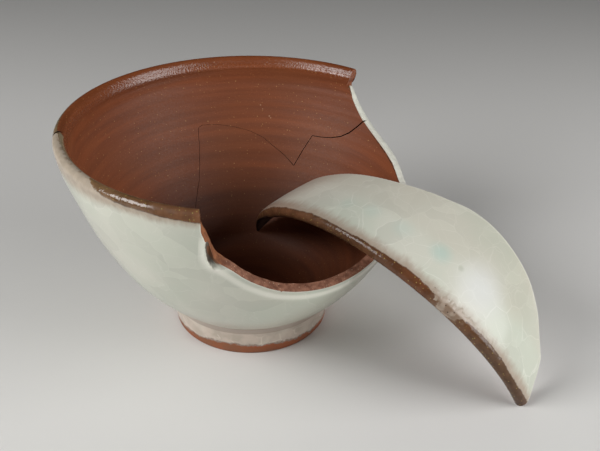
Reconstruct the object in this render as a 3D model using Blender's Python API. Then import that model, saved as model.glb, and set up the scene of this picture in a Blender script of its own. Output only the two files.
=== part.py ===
"""A thrown stoneware bowl, broken in two: the bowl, and the piece of rim that leans in it.

Metres, +Z up, table at z = 0.  Both pieces come from one turned wall.  A place on that wall is
an angle around the bowl in degrees (0 at +X, 90 at +Y) and a depth, measured down along the
wall from the foot of the lip.  The two broken edges are drawn in those terms.
"""
import math

import bmesh
import bpy
import numpy as np
from mathutils import Vector

MM = 0.001

# The turned bowl
RIM_RADIUS = 80.0 * MM
HEIGHT = 96.5 * MM
LIP_RADIUS = 2.9 * MM            # the lip is a roll, thicker than the wall
WALL = 4.1 * MM
LOW_GAIN = 0.4 * MM              # the wall is this much heavier low down
LIP_FADE = 10.0 * MM             # depth over which the roll thins to the wall
FOOT_RADIUS = 34.2 * MM          # outside of the foot ring, at the table
FOOT_TOP_RADIUS = 38.4 * MM      # where the ring meets the wall
FOOT_HEIGHT = 15.8 * MM
FOOT_LAND = 4.0 * MM             # width of the flat that stands on the table
FOOT_BEVEL = 0.8 * MM
RECESS_HEIGHT = 5.5 * MM         # hollow under the bowl, inside the ring
FLOOR_HEIGHT = 10.0 * MM         # middle of the floor, inside
WALL_BELLY = (62.4 * MM, 33.3 * MM)
WALL_SHOULDER = (78.0 * MM, 78.7 * MM)

# A thumb-sized scoop in the outside, beside the corner of the break
SCOOP_PLACE = (-101.0, 18.5 * MM)
SCOOP_SIZE = (3.4, 6.0 * MM)     # degrees around, depth along the wall
SCOOP_DEPTH = 1.0 * MM

# The bowl's broken edge, from the front-left end of the rim to the back-right end
BOWL_EDGE = (
    (-102.3, 0.0), (-102.2, 6.0), (-101.6, 14.0), (-100.2, 19.0),
    (-96.0, 25.0), (-90.0, 33.2), (-80.0, 41.6), (-65.0, 47.0),
    (-50.0, 47.6), (-42.0, 45.5), (-36.0, 40.5), (-28.0, 33.8),
    (-15.0, 30.0), (-5.0, 31.8), (4.0, 32.9), (13.0, 30.6),
    (22.0, 27.6), (30.0, 24.4), (36.0, 21.3), (41.0, 17.8),
    (45.2, 13.2), (48.0, 8.8), (50.0, 5.4), (49.2, 2.2), (48.8, 0.0),
)
EDGE_START = 1.0 * MM            # the break begins this far below the end of the lip

# The fragment's broken edge: a square end, the long curve, and a pointed end
FRAGMENT_SQUARE_END = ((-104.3, 0.0), (-104.2, 6.0), (-103.6, 14.0), (-101.5, 19.5))
FRAGMENT_LONG_EDGE = (
    (-101.5, 19.5), (-96.0, 25.0), (-90.0, 33.2), (-80.0, 41.6),
    (-65.0, 47.0), (-50.0, 47.4), (-38.0, 43.0), (-18.0, 36.0),
    (3.0, 30.6), (18.0, 27.0), (30.0, 23.0), (39.6, 17.4), (44.9, 10.0),
)
FRAGMENT_POINTED_END = ((44.9, 10.0), (46.8, 4.0), (47.6, 0.0))

# The pointed end broke on a slant: the share of the thickness left, from the outside, against
# the angle, which is moved on by so many degrees for each mm of depth
SLANT = ((18.0, 1.0), (24.0, 0.85), (33.0, 0.48), (40.0, 0.28), (47.6, 0.16))
SLANT_LEAN = 0.35

# How the fragment lies: square end on the table, pointed end against the inside of the bowl
FRAGMENT_TURN = (-146.5, -56.1, -177.8)
FRAGMENT_PLACE = (125.9 * MM, 43.8 * MM, 38.1 * MM)
BOWL_AXIS = (-19.75 * MM, -0.9 * MM)    # puts the pair's middle over the origin

# How finely the surfaces are divided
EDGE_STEP = 4.0 * MM
RIM_STEP = 5.5 * MM
WALL_ROWS = 13
LIP_ROWS = 5
FRAGMENT_COLUMNS = 56
FRAGMENT_ROWS = 10
CURVE_SAMPLES = 200
MM_PER_DEGREE = 1.3 * MM         # around the wall, for spacing points on the broken edge
SHARP_ANGLE = math.radians(40.0)


def bezier(controls, t):
    """Points of a cubic curve at the values t, from its four control points."""
    a, b, c, d = (np.array(point) for point in controls)
    t = np.asarray(t)[:, None]
    s = 1.0 - t
    return s ** 3 * a + 3 * s * s * t * b + 3 * s * t * t * c + t ** 3 * d


def turned_wall():
    """Depths, outside points and outward directions of the wall, from the lip down."""
    rim = (RIM_RADIUS, HEIGHT - LIP_RADIUS)
    foot = (FOOT_TOP_RADIUS, FOOT_HEIGHT)
    outside = bezier((rim, WALL_SHOULDER, WALL_BELLY, foot), np.linspace(0.0, 1.0, CURVE_SAMPLES))
    steps = np.linalg.norm(np.diff(outside, axis=0), axis=1)
    depths = np.concatenate(([0.0], np.cumsum(steps)))
    along = np.gradient(outside, axis=0)
    outward = np.stack((-along[:, 1], along[:, 0]), axis=1)
    outward /= np.linalg.norm(outward, axis=1)[:, None]
    return depths, outside, outward


DEPTHS, OUTSIDE, OUTWARD = turned_wall()
WALL_LENGTH = DEPTHS[-1]


def at_depth(values, depth):
    """One row of a two-column table, read at a depth."""
    return np.array([np.interp(depth, DEPTHS, values[:, i]) for i in (0, 1)])


def thickness(depth):
    """Wall thickness: the lip's roll fades into the wall, which is a little heavier low down."""
    fade = min(depth / LIP_FADE, 1.0)
    heavy = min(max((depth - 20.0 * MM) / (20.0 * MM), 0.0), 1.0)
    return WALL + (2.0 * LIP_RADIUS - WALL) * (1.0 - fade) + LOW_GAIN * heavy


def scoop(angle, depth):
    """How far the scoop presses the outside in."""
    around = (angle - SCOOP_PLACE[0]) / SCOOP_SIZE[0]
    down = (depth - SCOOP_PLACE[1]) / SCOOP_SIZE[1]
    return SCOOP_DEPTH * math.exp(-around * around - down * down)


def spin(angle, radius, height):
    """A point of the wall's section, turned around the axis."""
    turn = math.radians(angle)
    return Vector((radius * math.cos(turn), radius * math.sin(turn), height))


def wall_point(angle, depth, across):
    """A point in the wall; across is 0 on the outside and 1 on the inside."""
    inward = across * thickness(depth) + (1.0 - across) * scoop(angle, depth)
    radius, height = at_depth(OUTSIDE, depth) - inward * at_depth(OUTWARD, depth)
    return spin(angle, radius, height)


def kept(angle, depth):
    """The share of the fragment's thickness that is left at a place."""
    along, share = zip(*SLANT)
    return float(np.interp(angle + SLANT_LEAN * depth / MM, along, share))


def lip_points(angle, share=1.0):
    """The roll over the top of the wall, from the outside to as much of the inside as is left."""
    outward = OUTWARD[0]
    up = np.array((-outward[1], outward[0]))
    middle = OUTSIDE[0] - share * LIP_RADIUS * outward
    tall = math.sqrt(1.0 - (1.0 - share) ** 2)
    points = []
    for i in range(1, LIP_ROWS + 1):
        turn = math.pi * i / (LIP_ROWS + 1)
        offset = share * math.cos(turn) * outward + tall * math.sin(turn) * up
        points.append(spin(angle, *(middle + LIP_RADIUS * offset)))
    return points


def smooth_line(points, steps=8):
    """A curve through points given as (degrees, mm), as an array of (degrees, metres)."""
    knots = np.array(points) * (1.0, MM)
    knots = np.vstack((2 * knots[0] - knots[1], knots, 2 * knots[-1] - knots[-2]))
    line = []
    for a, b, c, d in zip(knots, knots[1:], knots[2:], knots[3:]):
        for i in range(steps):
            t = i / steps
            line.append(b + 0.5 * t * (c - a + t * (2 * a - 5 * b + 4 * c - d
                                                    + t * (3 * b - a - 3 * c + d))))
    line.append(knots[-2])
    return np.array(line)


def evenly(line, count):
    """The same curve as count points, evenly spaced along it."""
    flat = line * (MM_PER_DEGREE, 1.0)
    length = np.concatenate(([0.0], np.cumsum(np.linalg.norm(np.diff(flat, axis=0), axis=1))))
    wanted = np.linspace(0.0, length[-1], count)
    return np.stack([np.interp(wanted, length, line[:, i]) for i in (0, 1)], axis=1)


def line_length(line):
    """Length of a curve on the wall."""
    return np.linalg.norm(np.diff(line * (MM_PER_DEGREE, 1.0), axis=0), axis=1).sum()


def bowl_tops():
    """Where each column of the bowl ends above: (angle, depth, broken)."""
    edge = smooth_line(BOWL_EDGE)
    edge = evenly(edge, round(line_length(edge) / EDGE_STEP))
    edge[0, 1] = EDGE_START
    edge[-1, 1] = EDGE_START
    tops = [(angle, depth, True) for angle, depth in edge]
    first, last = BOWL_EDGE[-1][0], BOWL_EDGE[0][0] + 360.0
    count = round(math.radians(last - first) * RIM_RADIUS / RIM_STEP)
    tops += [(angle, 0.0, False) for angle in np.linspace(first, last, count)]
    return tops


def foot_angles(tops):
    """The angle of each column at the foot: spread in step with the columns' tops."""
    flat = [(angle * MM_PER_DEGREE, depth) for angle, depth, _ in tops]
    flat.append((flat[0][0] + 360.0 * MM_PER_DEGREE, flat[0][1]))
    steps = np.linalg.norm(np.diff(np.array(flat), axis=0), axis=1)
    share = np.cumsum(steps) - steps
    angles = 360.0 * share / steps.sum()
    drift = np.mean([top[0] - angle for top, angle in zip(tops, angles)])
    return angles + drift


def foot_points(angle):
    """The foot ring's section, from the recess's rim out and up to the wall."""
    inner = FOOT_RADIUS - FOOT_BEVEL - FOOT_LAND
    section = (
        (0.5 * inner, RECESS_HEIGHT),
        (inner - 1.6 * MM, RECESS_HEIGHT - 0.4 * MM),
        (inner - FOOT_BEVEL, RECESS_HEIGHT - 2.0 * MM),
        (inner, 0.0),
        (FOOT_RADIUS - FOOT_BEVEL, 0.0),
        (FOOT_RADIUS, FOOT_BEVEL),
        (0.5 * (FOOT_RADIUS + FOOT_TOP_RADIUS), 0.5 * FOOT_HEIGHT),
    )
    return [spin(angle, *point) for point in section]


def floor_points(angle):
    """The inside of the floor, from the wall to near the middle."""
    wall = OUTSIDE[-1] - (WALL + LOW_GAIN) * OUTWARD[-1]
    controls = (wall, (28.0 * MM, FLOOR_HEIGHT + 0.4 * MM), (14.0 * MM, FLOOR_HEIGHT),
                (0.0, FLOOR_HEIGHT))
    return [spin(angle, *point) for point in bezier(controls, (0.25, 0.5, 0.75))]


def bowl_column(top, foot_angle):
    """One strip of the bowl's skin: under the foot, up the outside, over and down the inside."""
    top_angle, top_depth, broken = top
    rows = np.linspace(0.0, 1.0, WALL_ROWS)
    places = [(top_angle + (foot_angle - top_angle) * t,
               top_depth + (WALL_LENGTH - top_depth) * t) for t in rows]
    outside = [wall_point(angle, depth, 0.0) for angle, depth in reversed(places)]
    inside = [wall_point(angle, depth, 1.0) for angle, depth in places]
    if broken:
        across = np.linspace(0.0, 1.0, LIP_ROWS + 2)[1:-1]
        over = [outside[-1].lerp(inside[0], float(t)) for t in across]
    else:
        over = lip_points(top_angle)
    return foot_points(foot_angle) + outside + over + inside + floor_points(foot_angle)


def new_object(name, mesh_builder, material):
    """Turn a bmesh into a smooth-shaded object with one material."""
    bmesh.ops.recalc_face_normals(mesh_builder, faces=mesh_builder.faces)
    mesh = bpy.data.meshes.new(name)
    mesh_builder.to_mesh(mesh)
    mesh_builder.free()
    mesh.shade_smooth()
    mesh.set_sharp_from_angle(angle=SHARP_ANGLE)
    mesh.materials.append(material)
    piece = bpy.data.objects.new(name, mesh)
    bpy.context.scene.collection.objects.link(piece)
    return piece


def principled(name, colour, roughness):
    """A plain Principled material."""
    material = bpy.data.materials.new(name)
    material.use_nodes = True
    shader = material.node_tree.nodes["Principled BSDF"]
    shader.inputs["Base Color"].default_value = (*colour, 1.0)
    shader.inputs["Roughness"].default_value = roughness
    shader.inputs["Metallic"].default_value = 0.0
    return material


def bridge(builder, left, right):
    """Join two neighbouring columns of vertices with four-sided faces."""
    for a, b, c, d in zip(left, left[1:], right[1:], right):
        builder.faces.new((a, b, c, d))


def make_bowl():
    """The bowl: a turned wall on a foot ring, with a bite of 151 degrees broken out."""
    builder = bmesh.new()
    tops = bowl_tops()
    columns = []
    for top, angle in zip(tops, foot_angles(tops)):
        columns.append([builder.verts.new(point) for point in bowl_column(top, angle)])
    under = builder.verts.new((0.0, 0.0, RECESS_HEIGHT))
    floor = builder.verts.new((0.0, 0.0, FLOOR_HEIGHT))
    for left, right in zip(columns, columns[1:] + columns[:1]):
        bridge(builder, left, right)
        builder.faces.new((under, left[0], right[0]))
        builder.faces.new((floor, right[-1], left[-1]))
    return new_object("bowl", builder, principled("bowl_glaze", (0.60, 0.61, 0.54), 0.22))


def fragment_grid():
    """The fragment as (angle, depth) places, blended between its lip and three broken sides."""
    us = np.linspace(0.0, 1.0, FRAGMENT_COLUMNS)
    vs = np.linspace(0.0, 1.0, FRAGMENT_ROWS)
    left = evenly(smooth_line(FRAGMENT_SQUARE_END), FRAGMENT_ROWS)
    right = evenly(smooth_line(FRAGMENT_POINTED_END), FRAGMENT_ROWS)[::-1]
    bottom = evenly(smooth_line(FRAGMENT_LONG_EDGE), FRAGMENT_COLUMNS)
    top = evenly(np.array((left[0], right[0])), FRAGMENT_COLUMNS)
    grid = []
    for i, u in enumerate(us):
        column = []
        for j, v in enumerate(vs):
            sides = (1 - u) * left[j] + u * right[j] + (1 - v) * top[i] + v * bottom[i]
            corners = ((1 - u) * (1 - v) * left[0] + u * (1 - v) * right[0]
                       + (1 - u) * v * left[-1] + u * v * right[-1])
            column.append(sides - corners)
        grid.append(column)
    return grid


def close_end(builder, column):
    """Cap the fragment's cut end: zip the outside of the section to its inside."""
    count = len(column)
    for i in range(count // 2 - 1):
        builder.faces.new((column[i], column[i + 1], column[-i - 2], column[-i - 1]))
    if count % 2:
        middle = count // 2
        builder.faces.new((column[middle - 1], column[middle], column[middle + 1]))


def make_fragment():
    """The broken-off crescent of rim."""
    builder = bmesh.new()
    columns = []
    for places in fragment_grid():
        outside = [wall_point(angle, depth, 0.0) for angle, depth in reversed(places)]
        inside = [wall_point(angle, depth, kept(angle, depth)) for angle, depth in places]
        section = outside + lip_points(places[0][0], kept(*places[0])) + inside
        columns.append([builder.verts.new(point) for point in section])
    for left, right in zip(columns, columns[1:]):
        bridge(builder, left, right)
        builder.faces.new((left[-1], left[0], right[0], right[-1]))
    close_end(builder, columns[0])
    close_end(builder, columns[-1])
    piece = new_object("rim_fragment", builder,
                       principled("fragment_glaze", (0.63, 0.63, 0.58), 0.22))
    piece.location = FRAGMENT_PLACE
    piece.rotation_euler = [math.radians(turn) for turn in FRAGMENT_TURN]
    return piece


for old in list(bpy.data.objects):
    bpy.data.objects.remove(old)
axis = bpy.data.objects.new("bowl_axis", None)
bpy.context.scene.collection.objects.link(axis)
axis.location = (*BOWL_AXIS, 0.0)
for piece in (make_bowl(), make_fragment()):
    piece.parent = axis
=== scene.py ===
import math
from functools import partialmethod

import bmesh
import bpy
import numpy as np
from mathutils import Euler, Matrix, Vector


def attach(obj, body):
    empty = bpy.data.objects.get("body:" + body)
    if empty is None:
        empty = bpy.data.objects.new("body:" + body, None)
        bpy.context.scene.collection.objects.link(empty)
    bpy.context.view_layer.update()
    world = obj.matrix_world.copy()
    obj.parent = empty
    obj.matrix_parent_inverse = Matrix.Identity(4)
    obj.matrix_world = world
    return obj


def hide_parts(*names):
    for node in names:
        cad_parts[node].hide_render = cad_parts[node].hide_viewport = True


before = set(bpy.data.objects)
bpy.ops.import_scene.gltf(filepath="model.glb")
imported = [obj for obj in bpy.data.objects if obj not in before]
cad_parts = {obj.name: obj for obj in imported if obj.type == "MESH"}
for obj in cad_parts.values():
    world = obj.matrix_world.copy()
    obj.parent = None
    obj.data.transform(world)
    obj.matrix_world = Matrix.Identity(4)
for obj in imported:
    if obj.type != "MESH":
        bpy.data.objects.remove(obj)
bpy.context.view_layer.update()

# The bowl.  Iron-rich stoneware, thrown on a wheel and turned to stand on a foot
# ring.  The wall rises from the ring in one curve and ends in a rolled lip; a long
# bite of the rim is broken out of the front and right.
MM = 0.001
RIM_RADIUS = 80.0 * MM
HEIGHT = 96.5 * MM
LIP_RADIUS = 2.9 * MM
WALL = 4.1 * MM
LOW_GAIN = 0.4 * MM
LIP_FADE = 10.0 * MM
FOOT_RADIUS = 35.0 * MM
FOOT_TOP_RADIUS = 38.4 * MM
FOOT_HEIGHT = 15.8 * MM
FOOT_LAND = 4.8 * MM
FOOT_BEVEL = 0.8 * MM
RECESS_HEIGHT = 5.5 * MM
FLOOR_HEIGHT = 10.0 * MM
WALL_BELLY = (62.4 * MM, 33.3 * MM)
WALL_SHOULDER = (78.0 * MM, 78.7 * MM)
BOWL_AXIS = Vector((-19.75 * MM, -0.9 * MM, 0.0))
MM_PER_DEGREE = 1.3 * MM


def bezier(controls, t):
    """Points of a cubic curve at the values t, from its four control points."""
    a, b, c, d = (np.array(point) for point in controls)
    t = np.asarray(t)[:, None]
    s = 1.0 - t
    return s ** 3 * a + 3 * s * s * t * b + 3 * s * t * t * c + t ** 3 * d


def lengths(points):
    """How far along a line each of its points is."""
    return np.concatenate(([0.0], np.cumsum(np.linalg.norm(np.diff(points, axis=0), axis=1))))


def unit(vectors):
    """Directions of length one."""
    return vectors / np.linalg.norm(vectors, axis=-1, keepdims=True)


def turned_wall():
    """Depths below the lip, outside points and outward directions of the wall."""
    rim = (RIM_RADIUS, HEIGHT - LIP_RADIUS)
    foot = (FOOT_TOP_RADIUS, FOOT_HEIGHT)
    outside = bezier((rim, WALL_SHOULDER, WALL_BELLY, foot), np.linspace(0.0, 1.0, 400))
    along = np.gradient(outside, axis=0)
    return lengths(outside), outside, unit(np.stack((-along[:, 1], along[:, 0]), axis=1))


DEPTHS, OUTSIDE, OUTWARD = turned_wall()
WALL_LENGTH = DEPTHS[-1]


def spin(angle, radius, height):
    """Turn a place on the wall's section around the axis."""
    turn = np.radians(angle)
    return np.stack((radius * np.cos(turn), radius * np.sin(turn), height + 0.0 * turn), axis=-1)


def thickness(depth):
    """Wall thickness: the lip's roll fades into the wall, which is a little heavier low down."""
    fade = np.clip(depth / LIP_FADE, 0.0, 1.0)
    heavy = np.clip((depth - 20.0 * MM) / (20.0 * MM), 0.0, 1.0)
    return WALL + (2.0 * LIP_RADIUS - WALL) * (1.0 - fade) + LOW_GAIN * heavy


def in_wall(angle, depth, inward):
    """Points that lie inward of the outside, at an angle and a depth."""
    radius = np.interp(depth, DEPTHS, OUTSIDE[:, 0])
    height = np.interp(depth, DEPTHS, OUTSIDE[:, 1])
    radius = radius - inward * np.interp(depth, DEPTHS, OUTWARD[:, 0])
    height = height - inward * np.interp(depth, DEPTHS, OUTWARD[:, 1])
    return spin(angle, radius, height)


def upward(angle, depth, inward):
    """Directions up the wall."""
    return unit(in_wall(angle, depth, inward) - in_wall(angle, depth + 1.0 * MM, inward))


def uneven(points, size, seed):
    """A smooth random field of about unit height, with lumps of a given size."""
    dice = np.random.default_rng(seed)
    total = 0.0
    for _ in range(14):
        axis = dice.normal(size=3)
        axis *= dice.uniform(0.6, 1.5) * math.pi / size / np.linalg.norm(axis)
        total = total + np.sin(points @ axis + dice.uniform(0.0, 2.0 * math.pi))
    return total / math.sqrt(7.0)


def smooth_line(points, steps=24):
    """A curve through points given as (degrees, mm), as an array of (degrees, metres)."""
    knots = np.array(points) * (1.0, MM)
    knots = np.vstack((2 * knots[0] - knots[1], knots, 2 * knots[-1] - knots[-2]))
    line = []
    for a, b, c, d in zip(knots, knots[1:], knots[2:], knots[3:]):
        for t in np.arange(steps) / steps:
            line.append(b + 0.5 * t * (c - a + t * (2 * a - 5 * b + 4 * c - d
                                                    + t * (3 * b - a - 3 * c + d))))
    line.append(knots[-2])
    return np.array(line)


def run_along(line):
    """Distance from the start of a curve on the wall, at each of its points."""
    return lengths(line * (MM_PER_DEGREE, 1.0))


def spaced(line, wanted):
    """The curve's points at the wanted distances from its start."""
    run = run_along(line)
    return np.stack([np.interp(wanted, run, line[:, i]) for i in (0, 1)], axis=1)


def distance_to(line, angle, depth):
    """How far places on the wall are from a curve on it."""
    marks = spaced(line, np.arange(0.0, run_along(line)[-1], 0.5 * MM)) * (MM_PER_DEGREE, 1.0)
    flat = np.stack((angle * MM_PER_DEGREE, depth), axis=-1).reshape(-1, 2)
    near = np.full(len(flat), np.inf)
    for start in range(0, len(marks), 40):
        gap = np.linalg.norm(flat[:, None, :] - marks[None, start:start + 40, :], axis=2)
        near = np.minimum(near, gap.min(axis=1))
    return near.reshape(np.shape(angle))


BOWL_EDGE = smooth_line((
    (-102.3, 0.0), (-102.5, 4.0), (-102.4, 6.2), (-101.8, 9.0), (-101.2, 12.0), (-100.9, 15.0),
    (-99.8, 19.6), (-96.0, 25.0), (-90.0, 33.2), (-80.0, 41.6), (-65.0, 47.0),
    (-50.0, 47.6), (-42.0, 45.5), (-36.0, 40.5), (-28.0, 33.8),
    (-15.0, 30.0), (-5.0, 31.4), (4.0, 32.1), (13.0, 29.9), (22.0, 27.1), (30.0, 24.2),
    (36.0, 21.3), (41.0, 17.8), (45.2, 13.2), (48.0, 8.8), (50.0, 5.4), (49.2, 2.2), (48.8, 0.0),
))
BROKEN_STEP = 1.05 * MM
CORNER_STEP = 0.42 * MM
FRONT_RUN = 28.0 * MM            # finer columns for this far from the front end of the break
BACK_RUN = 8.0 * MM              # and from the back end
RIM_STEP = 2.0 * MM
OUTSIDE_ROWS = 76
OVER_ROWS = 11
INSIDE_ROWS = 66
ROW_CROWDING = 1.35              # rows lie closer together towards the edge
FRONT_CORNER = 0.7 * MM          # how far the lip's front end is rounded
BACK_CORNER = 2.6 * MM           # and its back end
FRONT_LEAN = ((0.0, -1.15), (4.0, -1.05), (8.0, -0.3), (12.0, -0.3), (20.0, 0.0))
NECK_DEPTH = 5.4 * MM            # the back end overhangs the break above this depth
NECK_COLUMNS = 21
NECK_GAIN = 0.09                 # degrees from one column to the next under the overhang
FLOOR_ROWS = 14


def break_runs(length):
    """Where along the break the columns stand: close together at both ends."""
    front = np.arange(0.0, FRONT_RUN, CORNER_STEP)
    back = length - np.arange(0.0, BACK_RUN, CORNER_STEP)[::-1]
    middle = np.linspace(FRONT_RUN, length - BACK_RUN,
                         round((length - FRONT_RUN - BACK_RUN) / BROKEN_STEP))
    return np.concatenate((front, middle, back))


def bowl_tops():
    """For each column: angle and depth of its top, and how much of the lip's roll it keeps."""
    length = run_along(BOWL_EDGE)[-1]
    runs = break_runs(length)
    edge = spaced(BOWL_EDGE, runs)
    front = np.sqrt(np.clip(1.0 - runs / FRONT_CORNER, 0.0, 1.0))
    back = np.sqrt(np.clip(1.0 - (length - runs) / BACK_CORNER, 0.0, 1.0))
    first, last = BOWL_EDGE[-1, 0], BOWL_EDGE[0, 0] + 360.0
    count = round(math.radians(last - first) * RIM_RADIUS / RIM_STEP)
    rim = np.linspace(first, last, count + 2)[1:-1]
    angle = np.concatenate((edge[:, 0], rim))
    depth = np.concatenate((edge[:, 1], 0.0 * rim))
    roll = np.concatenate((np.maximum(front, back), 0.0 * rim + 1.0))
    broken = np.concatenate((0.0 * runs + 1.0, 0.0 * rim))
    return angle, depth, roll, broken


def foot_angles(angle, depth):
    """The angle of each column at the foot: spread in step with the columns' tops."""
    flat = np.stack((angle * MM_PER_DEGREE, depth), axis=1)
    flat = np.vstack((flat, (flat[0, 0] + 360.0 * MM_PER_DEGREE, flat[0, 1])))
    steps = np.linalg.norm(np.diff(flat, axis=0), axis=1)
    angles = 360.0 * (np.cumsum(steps) - steps) / steps.sum()
    return angles + np.mean(angle - angles)


# The thrower's finger marks inside: depth below the lip, and how strong
FINGER_MARKS = (
    (2.1, 1.3), (5.1, 0.7), (9.7, 0.4), (13.0, 1.0), (16.5, 0.4), (20.8, 1.1),
    (24.5, 0.4), (26.5, 0.9), (32.4, 1.0), (38.5, 1.0), (44.6, 1.2), (51.3, 1.0),
    (57.0, 1.0), (63.5, 0.8), (70.5, 0.8), (78.0, 0.7),
)
MARK_DEPTH = 0.16 * MM
MARK_WIDTH = 1.0 * MM
MARK_TILT = 1.7 * MM             # the rings climb a little from one side to the other


def finger_marks(angle, depth):
    """How far the throwing rings press into the inside."""
    level = depth - MARK_TILT * np.sin(np.radians(angle - 85.0))
    total = 0.0 * level
    for at, strength in FINGER_MARKS:
        reach = (level - at * MM) / MARK_WIDTH
        total = total + strength * np.exp(-reach * reach)
    return -MARK_DEPTH * total


# A hollow flaked out beside the corner of the break, with a raised brink round its far side
BRINK = smooth_line(((-101.6, 9.5), (-102.0, 12.5), (-102.1, 16.0), (-102.0, 19.5),
                     (-101.4, 22.2), (-100.6, 24.0), (-99.3, 24.8), (-97.8, 24.6)))
HOLLOW_DEPTH = 1.7 * MM
HOLLOW_STEEP = 0.9 * MM
BRINK_HEIGHT = 0.45 * MM
BRINK_WIDTH = 1.5 * MM
EDGE_DRAW = 0.8 * MM             # the outside is drawn in towards the break
EDGE_REACH = 7.0 * MM


def outside_relief(angle, depth, from_break):
    """How far the glazed outside lies inward of the plain turned surface."""
    close = np.clip(1.0 - from_break / EDGE_REACH, 0.0, 1.0)
    share = np.interp(angle, (-101.0, -95.0, 25.0, 40.0), (0.0, 1.0, 1.0, 0.5))
    draw = EDGE_DRAW * close * close * (3.0 - 2.0 * close) * share
    lowest = int(np.argmax(BRINK[:, 1]))
    left = np.interp(depth, BRINK[:lowest + 1, 1], BRINK[:lowest + 1, 0])
    low = np.interp(angle, BRINK[lowest:, 0], BRINK[lowest:, 1])
    within = (angle > left) & (depth < low) & (depth > 9.5 * MM) & (angle < -94.0)
    flat = distance_to(BRINK, angle, depth)
    steep = flat / HOLLOW_STEEP
    fade = np.interp(angle, (-101.0, -98.5), (1.0, 0.0))
    hollow = np.where(within, HOLLOW_DEPTH * fade * steep * np.exp(1.0 - steep), 0.0)
    brink = BRINK_HEIGHT * np.exp(-(flat / BRINK_WIDTH) ** 2)
    brink = brink * np.interp(angle, (-101.4, -99.2), (1.0, 0.1)) * (angle < -90.0)
    return draw + hollow - brink, np.where(within, flat, -flat)


def banded(bands, *values):
    """One grid, from a value or a grid for each band of rows."""
    return np.concatenate([np.broadcast_to(value, band.shape[:2]) for value, band in zip(values, bands)])


LIP_EASE = 0.9 * MM              # the lip's inner shoulder is eased back by this much
EASE_REACH = 3.0 * MM
MARK_FADE = 1.5 * MM             # the finger marks fade out this far below the edge
LUMPS = 0.12 * MM                # the glaze outside is slightly uneven below the lip
LUMP_SIZE = 14 * MM
LUMP_FADE = 8 * MM
GRAIN = 0.10 * MM                # the torn clay is grainy, and proud in the middle
GRAIN_SIZE = 2.2 * MM
FINE_GRAIN = 0.05 * MM
FINE_GRAIN_SIZE = 0.9 * MM
CROWN = 0.35 * MM
FAR = 40.0 * MM                  # as good as nowhere near the break
GLAZE, INSIDE_CLAY, TORN_CLAY, CRACK = range(4)      # the slots of the materials
WHITE_START = -6.0               # glaze laps over the break at the back, from here on
BACK_KNOB = (45.0, 5.6 * MM)     # but the hooked end is bare above this depth
FRONT_KNOB = (-101.0, 4.6 * MM)  # and the square front corner is glazed above this one
# The foot ring's outside: mm beyond its radius, and mm above the table
FOOT_OUTSIDE = ((-0.3, 0.2), (0.0, 0.7), (0.1, 1.6), (0.3, 3.2), (0.6, 5.0), (1.0, 7.5),
                (1.4, 10.0), (1.7, 11.8), (1.9, 12.6), (2.4, 13.7), (2.8, 14.8), (3.1, 15.4))


def places_down(count, tops, top_depth, low_angle, ends):
    """Angle and depth of the wall's rows, with the columns bent round the hooked back end."""
    rows = np.linspace(0.0, 1.0, count)[:, None] ** ROW_CROWDING
    angle = tops + (low_angle - tops) * rows
    depth = top_depth + (WALL_LENGTH - top_depth) * rows
    neck = int(np.argmax(tops[:ends]))
    for column in range(neck + 1, neck + 1 + NECK_COLUMNS):
        down = depth[:, column] - top_depth[column]
        gain = angle[:, column - 1] + NECK_GAIN * np.clip(down / (2.0 * MM), 0.0, 1.0)
        settle = np.clip(down / max(NECK_DEPTH - top_depth[column], 0.8 * MM), 0.0, 1.0)
        angle[:, column] += np.maximum(gain - angle[:, column], 0.0) * settle
    return angle, depth


def bowl_foot(low_angle):
    """The foot ring's rows, from the recess under the bowl out and up to the wall."""
    inner = FOOT_RADIUS - FOOT_BEVEL - FOOT_LAND
    recess = ((0.45 * inner, 5.5), (0.8 * inner, 5.4), (inner - 2.2 * MM, 5.2),
              (inner - 1.0 * MM, 4.3), (inner - 0.5 * MM, 1.0), (inner + 0.1 * MM, 0.2),
              (inner + 0.5 * MM, 0.0), (FOOT_RADIUS - FOOT_BEVEL, 0.0))
    rows = [spin(low_angle, radius, height * MM) for radius, height in recess]
    for out, height in FOOT_OUTSIDE:
        rows.append(spin(low_angle, FOOT_RADIUS + out * MM, height * MM))
    return np.array(rows)


def bowl_floor(low_angle):
    """The floor's rows inside, from the wall towards the middle."""
    wall = OUTSIDE[-1] - (WALL + LOW_GAIN) * OUTWARD[-1]
    controls = (wall, (28.0 * MM, FLOOR_HEIGHT + 0.4 * MM), (14.0 * MM, FLOOR_HEIGHT),
                (0.0, FLOOR_HEIGHT))
    curve = bezier(controls, np.linspace(0.0, 1.0, FLOOR_ROWS + 2)[1:-1])
    return np.array([spin(low_angle, radius, height) for radius, height in curve])


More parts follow.
